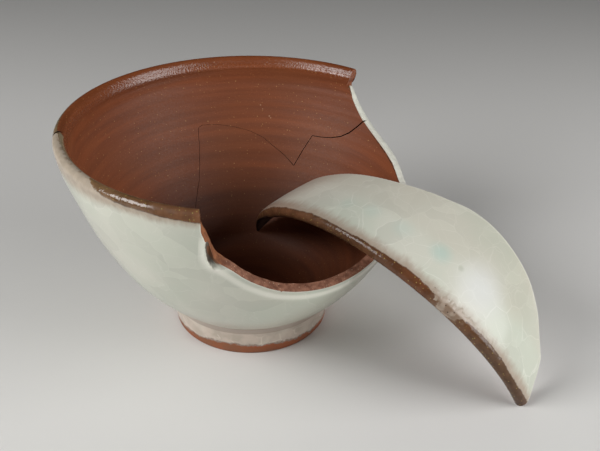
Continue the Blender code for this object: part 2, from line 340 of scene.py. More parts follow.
def bowl_grid():
    """The bowl's skin as rows of points, its maps, and the slot of each face."""
    top_angle, top_depth, roll, broken = bowl_tops()
    low_angle = foot_angles(top_angle, top_depth)
    shared = top_depth, low_angle, int(broken.sum())
    out_angle, out_depth = (grid[::-1] for grid in places_down(OUTSIDE_ROWS, top_angle, *shared))
    out_break = distance_to(BOWL_EDGE, out_angle, out_depth)
    relief, hollow = outside_relief(out_angle, out_depth, out_break)
    plain = in_wall(out_angle, out_depth, 0.0)
    lumps = LUMPS * uneven(plain, LUMP_SIZE, 3) * np.clip(out_depth / LUMP_FADE, 0, 1)
    outside = in_wall(out_angle, out_depth, relief - lumps)

    deep, lean = zip(*FRONT_LEAN)
    lean = np.interp(top_depth / MM, deep, lean) * broken * (top_angle < -95.0)
    angle, depth = places_down(INSIDE_ROWS, top_angle + lean, *shared)
    in_break = distance_to(BOWL_EDGE, angle, depth)
    dig = finger_marks(angle, depth) * np.clip(depth / MARK_FADE, 0.0, 1.0)
    ease = LIP_EASE * np.clip(1.0 - depth / EASE_REACH, 0.0, 1.0) ** 2
    inside = in_wall(angle, depth, thickness(depth) - dig - ease)

    over = []
    across = np.linspace(0.0, 1.0, OVER_ROWS + 2)[1:-1]
    low, high = outside[-1], inside[0]
    up = upward(top_angle, top_depth, 0.5 * thickness(top_depth))
    for share in across:
        swing = math.pi * share
        t = roll * 0.5 * (1.0 - math.cos(swing)) + (1.0 - roll) * share
        chord = low + (high - low) * t[:, None]
        grain = GRAIN * uneven(chord, GRAIN_SIZE, 5) + FINE_GRAIN * uneven(chord, FINE_GRAIN_SIZE, 6)
        proud = (1.0 - roll) * (grain + CROWN * math.sin(swing)) * broken
        lift = roll * LIP_RADIUS * math.sin(swing) + proud
        over.append(chord + up * lift[:, None])
    over = np.array(over)

    foot, floor = bowl_foot(low_angle), bowl_floor(low_angle)
    bands = foot, outside, over, inside, floor
    top_break = distance_to(BOWL_EDGE, top_angle, top_depth) * (1.0 - broken)
    gap = banded(bands, FAR, out_break, top_break, in_break, FAR)
    side = banded(bands, 0.0, 0.0, across[:, None], 1.0, 1.0)
    under = WALL_LENGTH + np.linspace(45.0 * MM, 0.5 * MM, len(foot))[:, None]
    middle = WALL_LENGTH + np.linspace(2.0 * MM, 30.0 * MM, len(floor))[:, None]
    angles = banded(bands, low_angle, out_angle, top_angle, angle, low_angle)
    depths = banded(bands, under, out_depth, top_depth, depth, middle)
    nowhere = -0.5 * FAR
    hollows = banded(bands, nowhere, hollow, nowhere, nowhere, nowhere)
    maps = {"edge_place": (side, gap / MM), "wall_place": (angles, depths / MM),
            "hollow_place": (hollows / MM, depths / MM)}

    kind = np.zeros((len(gap) - 1, len(top_angle)), int)
    start = len(foot) + len(outside) - 1
    lip = kind[start:start + len(over) + 1]
    kind[start + len(over) + 1:] = INSIDE_CLAY
    broken = broken > 0.5
    torn = broken & (roll < 0.4)
    lip[:, torn] = TORN_CLAY
    lip[:, torn & (top_angle > WHITE_START)] = GLAZE
    lip[:, broken & (top_angle > BACK_KNOB[0]) & (top_depth < BACK_KNOB[1])] = INSIDE_CLAY
    lip[:, broken & (top_angle < FRONT_KNOB[0]) & (top_depth < FRONT_KNOB[1])] = GLAZE
    return np.concatenate(bands), kind, maps


def shown(name, data):
    """A new object in the scene."""
    piece = bpy.data.objects.new(name, data)
    bpy.context.scene.collection.objects.link(piece)
    return piece


def mesh_of(name, points, faces, kinds):
    """A smooth mesh, and the vertex at each of its corners."""
    mesh = bpy.data.meshes.new(name)
    mesh.from_pydata(points.tolist(), [], faces)
    mesh.polygons.foreach_set("material_index", kinds)
    mesh.shade_smooth()
    corner = np.zeros(len(mesh.loops), int)
    mesh.loops.foreach_get("vertex_index", corner)
    return mesh, corner


def make_bowl():
    """The bowl's mesh, closed round the axis and capped in the middle above and below."""
    points, kind, maps = bowl_grid()
    rows, columns = points.shape[:2]
    ids = np.arange(rows * columns).reshape(rows, columns)

    def four(grid):
        right = np.roll(grid, -1, axis=1)
        if grid.ndim == 3:
            right[:, -1, 0] += 360.0 * (grid[:, -1, 0] - right[:, -1, 0] > 180.0)
        return np.stack((grid[:-1], right[:-1], right[1:], grid[1:]), axis=2)

    quads = four(ids).reshape(-1, 4)
    faces, kinds = quads.tolist(), kind.reshape(-1).tolist()
    below, above = rows * columns, rows * columns + 1
    for a, b in zip(ids[0], np.roll(ids[0], -1)):
        faces.append((below, b, a))
        kinds.append(GLAZE)
    for a, b in zip(ids[-1], np.roll(ids[-1], -1)):
        faces.append((above, a, b))
        kinds.append(INSIDE_CLAY)
    middles = ((0.0, 0.0, RECESS_HEIGHT), (0.0, 0.0, FLOOR_HEIGHT))
    mesh, corner = mesh_of("stoneware_bowl", np.vstack((points.reshape(-1, 3), middles)), faces, kinds)
    rest = corner[quads.size:]
    known = rest < rows * columns
    for label, grid in maps.items():
        grid = np.stack(grid, axis=-1)
        pairs = np.zeros((len(corner), 2), np.float32)
        pairs[:quads.size] = four(grid).reshape(-1, 2)
        pairs[quads.size:][known] = grid.reshape(-1, 2)[rest[known]]
        pairs[quads.size:][~known] = grid[-1, 0]
        mesh.uv_layers.new(name=label).uv.foreach_set("vector", pairs.ravel())
    mesh.update()
    return shown("stoneware_bowl", mesh)


stoneware_bowl = make_bowl()
stoneware_bowl.location = BOWL_AXIS

# Hairline cracks: fine grooves cut into the clay, (degrees, mm below the lip, mm wide)
WALL_CRACK = (
    (36.6, 18.0, 0.70), (39.3, 20.4, 0.86), (41.8, 24.6, 0.88), (44.4, 28.2, 0.80),
    (47.8, 31.3, 0.68), (52.3, 33.4, 0.52), (57.1, 34.4, 0.46), (61.2, 34.7, 0.44),
    (64.1, 42.2, 0.46), (67.5, 51.6, 0.42), (72.4, 47.3, 0.28), (80.1, 41.6, 0.24),
    (83.9, 38.4, 0.22), (89.3, 35.5, 0.20), (93.6, 33.9, 0.18), (98.0, 32.5, 0.18),
    (102.3, 31.4, 0.18), (106.6, 30.6, 0.19), (110.6, 30.5, 0.22), (112.0, 31.5, 0.24),
    (112.6, 35.1, 0.26), (112.9, 40.2, 0.26), (114.9, 50.3, 0.26), (117.2, 58.1, 0.26),
    (122.0, 67.3, 0.24), (125.0, 72.5, 0.20), (127.0, 77.0, 0.12),
)
CRACK_CORNERS = (7, 9, 19)       # where the crack turns sharply
CRACK_DEEP = 0.9 * MM
CRACK_PROUD = 0.5 * MM           # how far the cutter stands out of the surface


def crack_line(points, corners, step=0.8):
    """The crack as close points: smooth between its sharp corners."""
    stops = [0, *corners, len(points) - 1]
    line = []
    for a, b in zip(stops, stops[1:]):
        knots = np.array(points[a:b + 1])
        run = lengths(knots[:, :2] * (MM_PER_DEGREE / MM, 1.0))
        wanted = np.linspace(0.0, run[-1], max(3, round(run[-1] / step)))
        part = np.stack([np.interp(wanted, run, knots[:, i]) for i in range(3)], axis=1)
        line.append(part if a == 0 else part[1:])
    return np.vstack(line)


def built(name, builder, slot):
    """An object from a bmesh, with one material all over."""
    for face in builder.faces:
        face.material_index = slot
    mesh = bpy.data.meshes.new(name)
    builder.to_mesh(mesh)
    builder.free()
    return shown(name, mesh)


def crack_cutter(name, middle, inward, widths):
    """A thin closed fin along a line of points, to be cut out of the clay."""
    across = unit(np.cross(np.gradient(middle, axis=0), inward))
    half = 0.5 * widths[:, None] * across
    proud, deep = middle - inward * CRACK_PROUD, middle + inward * CRACK_DEEP
    corners = (proud + half, proud - half, deep - half * 0.3, deep + half * 0.3)
    builder = bmesh.new()
    rings = [[builder.verts.new(point) for point in four] for four in np.stack(corners, axis=1)]
    for a, b in zip(rings, rings[1:]):
        for i in range(4):
            j = (i + 1) % 4
            builder.faces.new((a[i], a[j], b[j], b[i]))
    builder.faces.new(rings[0])
    builder.faces.new(rings[-1])
    bmesh.ops.recalc_face_normals(builder, faces=builder.faces)
    return built(name, builder, CRACK)


def wall_crack_cutter():
    """The long crack across the inside."""
    line = crack_line(WALL_CRACK, CRACK_CORNERS)
    angle, depth, width = line[:, 0], line[:, 1] * MM, line[:, 2] * MM
    step = np.arange(len(depth))
    depth = depth + 0.03 * MM * np.sin(step * 2.1) * np.sin(step * 0.7)
    across = thickness(depth) - finger_marks(angle, depth)
    middle = in_wall(angle, depth, across)
    inward = unit(in_wall(angle, depth, across - 1.0 * MM) - middle)
    return crack_cutter("wall_crack", middle, inward, width)


def cut(piece, cutter):
    """Cut a fine shape out of a piece for good."""
    cutter.location = piece.location
    for material in piece.data.materials:
        cutter.data.materials.append(material)
    saw = piece.modifiers.new("crack", "BOOLEAN")
    saw.operation = "DIFFERENCE"
    saw.solver = "EXACT"
    saw.object = cutter
    bpy.context.view_layer.update()
    result = piece.evaluated_get(bpy.context.evaluated_depsgraph_get())
    mesh = bpy.data.meshes.new_from_object(result)
    piece.modifiers.clear()
    piece.data = mesh
    bpy.data.objects.remove(cutter)


RIM_CRACK_ANGLE = 187.8
RIM_CRACK = ((0.0, 0.4), (20.0, 0.9), (45.0, 1.05), (75.0, 1.05), (100.0, 0.85), (125.0, 0.4))
NICK = (-80.0, 41.4)             # a chip off the outer edge of the break, degrees and mm
NICK_RADIUS = 0.75 * MM


def rim_crack_cutter():
    """The short crack over the lip: degrees over the roll, mm wide."""
    swing, width = (np.array(column) for column in zip(*RIM_CRACK))
    fine = np.linspace(swing[0], swing[-1], 40)
    width = np.interp(fine, swing, width) * MM
    turn = np.radians(fine)
    angle = RIM_CRACK_ANGLE + 0.7 * np.sin(turn * 2.3)
    outward = spin(angle, np.cos(turn), np.sin(turn))
    centre = spin(angle, RIM_RADIUS - LIP_RADIUS, HEIGHT - LIP_RADIUS)
    return crack_cutter("rim_crack", centre + LIP_RADIUS * outward, -outward, width)


def nick_cutter():
    """A small ragged chip."""
    place = Vector(in_wall(NICK[0], NICK[1] * MM, 0.5 * MM))
    builder = bmesh.new()
    bmesh.ops.create_icosphere(builder, subdivisions=1, radius=NICK_RADIUS)
    for index, point in enumerate(builder.verts):
        point.co *= 1.0 + 0.25 * math.sin(index * 2.4)
        point.co += place
    return built("nick", builder, TORN_CLAY)


class Recipe:
    """A glaze or clay written as nodes, each coat laid over the colour so far."""

    def __init__(self, name, roughness, specular, laid=None):
        self.material = bpy.data.materials.new(name)
        self.material.use_nodes = True
        self.tree = self.material.node_tree
        self.shader = self.tree.nodes["Principled BSDF"].inputs
        self.shader["Roughness"].default_value = roughness
        self.shader["Specular IOR Level"].default_value = specular
        self.colour = None
        self.where = self.node("TexCoord")["Object"]
        if laid:
            inputs = zip(("Vector", "Location", "Rotation"), (self.where, *laid))
            self.where = self.node("Mapping", inputs, vector_type="TEXTURE")[0]

    def put(self, socket, value):
        """Link a value from another node, or set a plain one."""
        if isinstance(value, bpy.types.NodeSocket):
            self.tree.links.new(value, socket)
        else:
            socket.default_value = value

    def node(self, kind, inputs=(), **settings):
        """The outputs of a new node, with its inputs linked or set."""
        node = self.tree.nodes.new("ShaderNode" + kind)
        for key, value in settings.items():
            setattr(node, key, value)
        for key, value in inputs:
            self.put(node.inputs[key], value)
        return node.outputs

    def step(self, value):
        """A value; a tuple stands for the smooth step that between makes of it."""
        return self.between(*value) if isinstance(value, tuple) else value

    def maths(self, operation, *values):
        """One sum."""
        return self.node("Math", enumerate(map(self.step, values)), operation=operation)[0]

    add = partialmethod(maths, "ADD")
    less = partialmethod(maths, "SUBTRACT")
    most = partialmethod(maths, "MAXIMUM")
    scaled = partialmethod(maths, "MULTIPLY_ADD")        # value, factor, start

    def times(self, first, *others):
        """The product of several values."""
        for other in others:
            first = self.maths("MULTIPLY", first, other)
        return first

    def vector(self, operation, first, second=(0.0, 0.0, 0.0), output=0):
        """One sum on places or directions."""
        return self.node("VectorMath", enumerate((first, second)), operation=operation)[output]

    def part(self, vector, axis):
        """One coordinate of a place."""
        return self.node("SeparateXYZ", ((0, vector),))[axis]

    def noise(self, size, detail=2.0, where=None, output=0):
        """Cloudy noise from 0 to 1 with lumps of a given size in metres."""
        inputs = (("Vector", where or self.where), ("Scale", 0.5 / size), ("Detail", detail))
        return self.node("TexNoise", inputs)[output]

    def cells(self, size, feature="F1", where=None):
        """Cells of a given size in metres: the distance and each cell's random colour."""
        inputs = (("Vector", where or self.where), ("Scale", 1.0 / size))
        outputs = self.node("TexVoronoi", inputs, feature=feature)
        return outputs["Distance"], outputs.get("Color")

    def specks(self, size, radius, share):
        """Round specks: one in some of the cells; also a random tint for each."""
        away, tints = self.cells(size)
        chosen = self.between(self.part(tints, 0), 1.0 - share, 1.0 - share + 0.02)
        edge = radius / size
        return self.times((away, edge, edge * 0.5), chosen), self.part(tints, 1)

    def between(self, value, low, high, out_low=0.0, out_high=1.0):
        """A smooth step from out_low at low to out_high at high."""
        numbers = enumerate((value, low, high, out_low, out_high))
        return self.node("MapRange", numbers, interpolation_type="SMOOTHSTEP")[0]

    def clouded(self, size, low, high, out_low=0.0, out_high=1.0, detail=3.0):
        """A smooth step on cloudy noise."""
        return self.between(self.noise(size, detail), low, high, out_low, out_high)

    def stripe(self, value, middle, reach, full, strength=1.0):
        """A soft line where a value is near the middle."""
        away = self.maths("ABSOLUTE", self.add(value, -middle))
        return self.between(away, reach, full, 0.0, strength)

    def blend(self, amount, first, second):
        """Mix two colours."""
        first, second = (fired(c) if isinstance(c, tuple) else c for c in (first, second))
        inputs = (0, self.step(amount)), (6, first), (7, second)
        return self.node("Mix", inputs, data_type="RGBA")[2]

    def paint(self, amount, colour, strength=1.0):
        """Lay a colour over the colour so far."""
        if strength != 1.0:
            amount = self.times(amount, strength)
        self.colour = self.blend(amount, self.colour, colour)

    def shade(self, colour, amount):
        """Darken or lighten a colour by a factor."""
        colour = fired(colour)[:3] if isinstance(colour, tuple) else colour
        inputs = (0, colour), ("Scale", self.step(amount))
        return self.node("VectorMath", inputs, operation="SCALE")[0]

    def place(self, label):
        """The two values that the mesh keeps under a label."""
        both = self.node("UVMap", uv_map=label)[0]
        return self.part(both, 0), self.part(both, 1)

    def along(self, angle, stops):
        """A value that changes with the angle round the wall, from (degrees, value) pairs."""
        low, high = stops[0][0], stops[-1][0]
        node = self.tree.nodes.new("ShaderNodeValToRGB")
        self.put(node.inputs[0], self.maths("DIVIDE", self.less(angle, low), high - low))
        marks = node.color_ramp.elements
        for index, (at, value) in enumerate(stops):
            place = (at - low) / (high - low)
            mark = marks[index] if index < 2 else marks.new(place)
            mark.position = place
            mark.color = fired(value) if isinstance(value, tuple) else (value, value, value, 1.0)
        return node.outputs[0]

    def level(self, angle, stops):
        """A height in mm that changes with the angle, from (degrees, mm) pairs over -8 mm."""
        shares = [(at, (mm + 8.0) / 10.0) for at, mm in stops]
        return self.scaled(self.along(angle, shares), 10.0, -8.0)

    def near(self, angle, depth, reach, inner=0.0, inward=0.0):
        """1 at a spot in the wall, given in degrees and mm, falling to 0 at its reach."""
        spot = in_wall(angle, depth * MM, inward)
        away = self.vector("DISTANCE", self.where, tuple(float(c) for c in spot), 1)
        return self.between(away, reach * MM, inner * MM)

    def bump(self, height, tall, normal=None):
        """Raise the surface by height, in metres."""
        inputs = [("Strength", 1.0), ("Distance", tall), ("Height", height)]
        return self.node("Bump", inputs + ([("Normal", normal)] if normal else []))[0]

    def finish(self, normal=None, roughness=None, specular=None):
        """Join the colour, surface and gloss to the shader."""
        names = ("Base Color", "Normal", "Roughness", "Specular IOR Level")
        for name, value in zip(names, (self.colour, normal, roughness, specular)):
            if value is not None:
                self.put(self.shader[name], value)
        return self.material


def fired(colour):
    """A colour given as it looks, 0 to 255, in the shader's own light units."""
    level = [c / 255.0 for c in colour[:3]]
    return (*[c / 12.92 if c <= 0.04045 else ((c + 0.055) / 1.055) ** 2.4 for c in level], 1.0)


def ring_streaks(mix, depth, tall):
    """Fine streaks that run round the wall with the throwing rings."""
    flat = [mix.times(mix.part(mix.where, axis), 0.05) for axis in (0, 1)]
    flat = mix.node("CombineXYZ", enumerate((*flat, mix.times(depth, MM))))[0]
    return mix.noise(tall, 2.0, flat)


CLAY_RED = (126, 67, 37)
CLAY_DARK = (114, 60, 34)
CLAY_BROWN = (123, 73, 46)


def clay_colour(mix, depth):
    """Iron-red clay with streaks along the throwing rings and golden and rusty specks."""
    fine = ring_streaks(mix, depth, 0.45 * MM)
    broad = ring_streaks(mix, depth, 1.9 * MM)
    red = mix.blend((broad, 0.32, 0.68), CLAY_DARK, CLAY_RED)
    red = mix.shade(red, (fine, 0.25, 0.75, 0.93, 1.06))
    red = mix.blend(mix.clouded(20 * MM, 0.35, 0.7, 0.0, 0.45, 2.0), red, CLAY_BROWN)
    gold, tint = mix.specks(1.8 * MM, 0.29 * MM, 0.60)
    red = mix.blend(mix.times(gold, 0.75), red, mix.blend(tint, (152, 86, 46), (196, 154, 98)))
    dust, _ = mix.specks(0.9 * MM, 0.19 * MM, 0.55)
    return mix.blend(mix.times(dust, 0.5), red, (164, 104, 68)), fine, broad


SCRATCHES = ((85.0, 22.0, 0.55), (84.1, 24.0, 0.4), (81.2, 27.5, 0.6), (80.6, 28.4, 0.45))


def bare_clay(name, laid=None):
    """The unglazed inside: satin at the lip, duller below."""
    mix = Recipe(name, 0.6, 0.32, laid)
    angle, depth = mix.place("wall_place")
    _, gap = mix.place("edge_place")
    mix.colour, fine, broad = clay_colour(mix, depth)
    scratches = 0.0
    for at, deep, reach in SCRATCHES:
        mark = mix.near(at, deep, reach, 0.1, thickness(deep * MM))
        scratches = mix.most(scratches, mark)
    mix.paint(scratches, (196, 156, 124), 0.55)
    worn = mix.between(ring_streaks(mix, depth, 4.5 * MM), 0.35, 0.65, 0.94, 1.10)
    # painted shade: the clay is darkened towards the floor of the bowl, where it lies in shadow
    painted_floor_shade = mix.between(depth, 50.0, 72.0, 1.0, 0.56)
    mix.colour = mix.shade(mix.colour, mix.times(worn, painted_floor_shade))
    edge_trim(mix, angle, gap)
    # painted shade: on the fragment the clay darkens towards its pointed end, which lies in shadow
    if laid:
        mix.colour = mix.shade(mix.colour, (angle, -40.0, -8.0, 1.0, 0.35))
    grain = mix.noise(0.45 * MM, 2.0)
    rough = mix.noise(0.42 * MM, 1.0)
    normal = mix.bump(mix.times(rough, (depth, 5.5, 2.5)), 0.22 * MM)
    for height, tall in ((grain, 0.07), (fine, 0.02), (broad, 0.03)):
        normal = mix.bump(height, tall * MM, normal)
    gloss = mix.add((grain, 0.3, 0.7, -0.05, 0.05), (depth, 2.0, 5.0, 0.27, 0.46))
    gloss = mix.add(gloss, (depth, 5.0, 14.0, 0.0, 0.14))
    return mix.finish(normal, gloss, mix.between(depth, 2.0, 5.0, 0.6, 0.32))


def edge_trim(mix, angle, gap):
    """White glaze that laps over the inner edge of the break at the back, with a dark seam."""
    lap = mix.along(angle, ((0, 0.0), (8, 0.0), (15, 0.3), (24, 0.8), (40, 0.75), (45, 0.45), (49, 0.0)))
    inner = mix.less(gap, lap)
    mix.paint(mix.times((inner, 0.06, -0.06), (lap, 0.05, 0.12)), (206, 204, 190))
    seam = mix.add(inner, -0.42)
    seam = mix.times((seam, -0.42, -0.2), (seam, 0.42, 0.2),
                     mix.clouded(0.7 * MM, 0.40, 0.52, detail=2.0),
                     (angle, 38.0, 26.0), (angle, 0.0, 4.0))
    mix.paint(seam, (52, 36, 24), 0.8)


def broken_clay(name, tip=1.0):
    """The torn face of the wall: rough, with pale grog showing."""
    mix = Recipe(name, 0.8, 0.35)
    angle, _ = mix.place("wall_place")
    coarse = mix.noise(1.1 * MM, 3.0)
    lumpy = mix.between(coarse, 0.3, 0.7)
    mix.colour = mix.blend(lumpy, (112, 70, 52), (148, 102, 80))
    speck, tint = mix.specks(0.85 * MM, 0.22 * MM, 0.5)
    mix.paint(speck, mix.blend(tint, (164, 118, 94), (222, 198, 168)), 0.75)
    pit, _ = mix.specks(1.5 * MM, 0.3 * MM, 0.25)
    mix.paint(pit, (52, 30, 25), 0.7)
    rusty = mix.blend(lumpy, (108, 62, 36), (150, 92, 54))
    mix.paint((angle, -96.0, -99.5, 0.0, 0.85), rusty)
    # painted shade: with tip below 1, the torn faces towards the fragment's pointed end are darkened,
    # where they lie in shadow
    mix.colour = mix.shade(mix.colour, (angle, 4.0, 16.0, 1.0, tip))
    normal = mix.bump(coarse, 0.45 * MM)
    return mix.finish(mix.bump(mix.noise(0.35 * MM, 2.0), 0.2 * MM, normal))


def painted_crack_shade():
    """Painted shade: the near-black inside of a crack."""
    mix = Recipe("painted_crack_shade", 0.95, 0.1)
    mix.colour = fired((24, 16, 14))
    return mix.finish()


CELADON = (207, 206, 193)
CELADON_GREEN = (195, 200, 185)
MAUVE = (170, 154, 136)
CRACKLE = 12 * MM
FINE_CRACKLE = 7.5 * MM
LIP_ARC = 9.1                    # mm over the lip, from the outside to the inside


class Celadon(Recipe):
    """Pale crackled celadon, and where it lies on the wall."""

    def __init__(self, name, specular, crackle, tall, laid=None):
        super().__init__(name, 0.22, specular, laid)
        self.side, self.gap = self.place("edge_place")
        self.angle, self.depth = self.place("wall_place")
        self.small = self.noise(6 * MM, 3.0)
        self.mottle = self.noise(1.5 * MM, 3.0)
        # mm down the outside from the lip's outer edge, less than nothing over the lip
        self.run = self.scaled(self.side, -LIP_ARC, self.depth)
        down = self.noise(0.8 * MM, 3.0, self.vector("MULTIPLY", self.where, (1.0, 1.0, 0.3)))
        self.ragged = self.add(self.scaled(down, 1.6 * tall, -0.8 * tall),
                               self.scaled(self.small, tall, -0.5 * tall))
        self.ragged_run = self.add(self.run, self.ragged)
        self.crackle(crackle)

    def crackle(self, strength):
        """The pale body, its crackle, and how far each facet of it is tipped."""
        drift = self.vector("SUBTRACT", self.noise(9 * MM, 2.0, output="Color"), (0.5, 0.5, 0.5))
        drift = self.vector("MULTIPLY", drift, (0.014, 0.014, 0.014))
        bent = self.vector("ADD", self.where, drift)
        seams, _ = self.cells(CRACKLE, "DISTANCE_TO_EDGE", bent)
        _, facets = self.cells(CRACKLE, "F1", bent)
        moved = self.vector("ADD", bent, (0.3, 0.1, 0.2))
        fine_seams, _ = self.cells(FINE_CRACKLE, "DISTANCE_TO_EDGE", moved)
        self.colour = self.blend(self.clouded(24 * MM, 0.32, 0.68), CELADON, CELADON_GREEN)
        tint = self.between(self.part(facets, 0), 0.0, 1.0, 0.945, 1.030)
        self.colour = self.shade(self.colour, tint)
        self.paint(self.clouded(34 * MM, 0.5, 0.72, 0.0, 0.5, 2.0), (204, 196, 180))
        line = self.times((seams, 0.026, 0.0), (self.small, 0.38, 0.62))
        hair = self.times((fine_seams, 0.030, 0.0), (self.small, 0.60, 0.42, 0.0, 0.7))
        self.line = self.most(line, hair)
        self.paint(self.line, (238, 236, 228), strength)
        self.tip = self.vector("SUBTRACT", facets, (0.5, 0.5, 0.5))

    def lip_band(self, end):
        """1 where the lip is brown: beyond its end, in mm down the outside."""
        edge = self.less(self.scaled(self.ragged, 0.32, self.run), end)
        return self.between(edge, 0.35, -0.35)

    def wander(self, degrees):
        """The angle round the wall, moved to and fro for ragged ends."""
        return self.scaled(self.mottle, degrees, self.add(self.angle, -0.5 * degrees))

    def surface(self, band):
        """Tipped facets, fine crackle and the lumpy glossy lip."""
        plain = self.node("NewGeometry")["Normal"]
        turn = self.vector("MULTIPLY", self.tip, (0.020, 0.020, 0.020))
        normal = self.vector("NORMALIZE", self.vector("ADD", plain, turn))
        normal = self.bump(self.times(self.noise(1.7 * MM, 2.0), band), 0.45 * MM, normal)
        normal = self.bump(self.times(self.noise(0.5 * MM, 1.0), band), 0.10 * MM, normal)
        return self.bump(self.scaled(self.line, -0.2, self.small), 0.03 * MM, normal)


BOWL_MAUVE_REACH = ((120, 0.35), (178, 0.5), (190, 1.0), (213, 0.9), (232, 0.50), (257, 0.45))
BOWL_LIP_END = ((50, 1.0), (150, 1.0), (186.5, 1.0), (188.5, -5.2), (198, -6.0), (212, -6.6),
                (219, -6.4), (222, -5.4), (223.6, -3.4), (225.5, -2.0), (228, -1.2),
                (232, -0.5), (243, -0.1), (248, 0.5), (257, 0.9))
BOWL_LIP_TONES = ((50, (116, 74, 50)), (150, (104, 76, 52)), (170, (118, 100, 76)),
                  (186, (118, 98, 72)), (210, (112, 90, 68)), (222, (122, 94, 66)),
                  (236, (106, 78, 52)), (246, (102, 71, 48)), (257, (108, 72, 48)))
BOWL_CLAY_START = ((50, -3.6), (160, -3.6), (182, -4.2), (187, -4.6), (189, -8.0), (257, -8.0))


def hollow_colours(mix):
    """The hollow beside the corner: painted highlight on its brink and along a strip near the break,
    painted shade along its foot, torn at the break.
    """
    angle, depth, gap = mix.angle, mix.depth, mix.gap
    # painted highlight: a pale strip a few mm from the break, where the drawn-in glaze catches the light
    painted_ridge_highlight = mix.times((gap, 6.0, 3.8), (gap, 1.4, 3.2), (angle, -104.0, -99.0))
    mix.paint(painted_ridge_highlight, (240, 238, 226), 0.62)
    mix.paint((gap, 0.7, 0.1, 0.0, 0.6), (236, 234, 222))
    dent, _ = mix.place("hollow_place")
    # painted highlight on the outer side of the hollow's brink
    painted_brink_highlight = mix.times((dent, -5.0, -0.6), (dent, 0.05, -0.15), (depth, 5.0, 11.0))
    mix.paint(painted_brink_highlight, (244, 242, 230), 0.45)
    # painted shade: dark along the foot of the brink inside the hollow
    painted_hollow_shade = mix.times((dent, -0.05, 0.2), (dent, 3.4, 1.2), (depth, 25.0, 20.0))
    mix.paint(painted_hollow_shade, (74, 60, 48), 0.95)
    torn = mix.times((depth, 12.0, 14.0), (depth, 23.0, 21.0),
                     (mix.scaled(mix.small, 0.8, gap), 2.3, 1.6),
                     (dent, 0.2, 0.5))
    mix.paint(torn, (112, 72, 46))
    return painted_hollow_shade, torn


def bowl_lip_colours(mix, torn_angle):
    """Brown where the glaze is thin over the lip, and bare clay on its inner side."""
    angle, depth, gap, run = mix.angle, mix.depth, mix.gap, mix.run
    band = mix.lip_band(mix.level(torn_angle, BOWL_LIP_END))
    tone = mix.shade(mix.along(angle, BOWL_LIP_TONES), mix.clouded(2.4 * MM, 0.3, 0.7, 0.80, 1.20))
    fleck, _ = mix.specks(1.2 * MM, 0.30 * MM, 0.55)
    tone = mix.blend(mix.times(fleck, 0.7), tone, (156, 142, 78))
    stray = mix.times((run, -3.6, -5.4), (angle, 224.0, 220.0),
                      (angle, 187.0, 190.0), (mix.mottle, 0.50, 0.60))
    mix.paint(stray, (104, 78, 56), 0.55)
    inner = mix.times((mix.scaled(mix.ragged, 0.1, run), -5.5, -6.1), (angle, 251.0, 244.0))
    mix.paint(band, mix.blend(mix.times(inner, 0.6), tone, (160, 148, 122)))
    edge = mix.less(mix.scaled(mix.ragged, 0.2, run), mix.level(angle, BOWL_CLAY_START))
    over = mix.times((edge, 0.25, -0.25), mix.most((gap, 0.02, 0.1), (angle, 40.0, 44.0)))
    nub = mix.times((depth, 6.6, 5.8), (gap, 1.2, 0.8), (angle, 44.0, 46.0), (angle, 56.0, 54.0))
    over = mix.most(over, nub)
    mix.paint(over, clay_colour(mix, depth)[0])
    return band, over


def foot_colours(mix):
    """The foot ring: painted shade in the hollow under the wall and along its crease, then pinkish
    glaze with short pale veins that ends in a ragged dark line above bare clay."""
    height, across = mix.part(mix.where, 2), mix.part(mix.where, 0)
    ring = mix.blend(mix.clouded(3.5 * MM, 0.35, 0.65), (203, 188, 174), (184, 171, 157))
    ring = mix.blend(mix.clouded(9.0 * MM, 0.55, 0.66, 0.0, 0.5, 2.0), ring, (214, 204, 190))
    seams, _ = mix.cells(6.0 * MM, "DISTANCE_TO_EDGE")
    veins = mix.times((seams, 0.07, 0.01), mix.clouded(3.2 * MM, 0.5, 0.6, detail=1.0),
                      (height, 11.5 * MM, 9.0 * MM, 0.0, 0.6))
    ring = mix.blend(veins, ring, (222, 212, 198))
    # painted shade: the cove of the ring above 12.7 mm, under the wall's overhang, is darkened
    shaded = mix.between(height, 11.9 * MM, 12.7 * MM, 0.0, 0.85)
    ring = mix.blend(shaded, ring, (172, 158, 146))
    mix.paint((height, 16.2 * MM, 15.5 * MM), ring)
    # painted shade: dark lines along the crease under the wall and along the lower edge of the cove
    painted_crease_shade = mix.times(mix.stripe(height, 15.7 * MM, 0.55 * MM, 0.1 * MM),
                       (mix.small, 0.3, 0.6, 0.35, 0.7))
    mix.paint(painted_crease_shade, (128, 110, 100))
    mix.paint(mix.stripe(height, 12.3 * MM, 0.5 * MM, 0.1 * MM, 0.3), (140, 124, 112))
    spill = mix.scaled(mix.noise(3.5 * MM, 4.0), 4.4 * MM, height)
    spill = mix.add(spill, (across, -14.0 * MM, -30.0 * MM, 0.0, 1.7 * MM))
    spill = mix.add(spill, (across, 6.0 * MM, 24.0 * MM, 0.0, 1.6 * MM))
    spill = mix.scaled(mix.noise(0.9 * MM, 3.0), 3.0 * MM, spill)
    mix.paint((spill, 9.9 * MM, 8.7 * MM, 0.0, 0.75), (126, 100, 88))
    dry = mix.between(spill, 8.5 * MM, 8.2 * MM)
    clay = mix.blend(mix.clouded(6 * MM, 0.35, 0.65), (132, 84, 56), (150, 84, 50))
    flame = mix.times(mix.clouded(11 * MM, 0.5, 0.6, detail=1.0), (height, 3.0 * MM, 4.6 * MM, 0.0, 0.6))
    mix.paint(dry, mix.blend(flame, clay, (168, 76, 40)))
    return dry


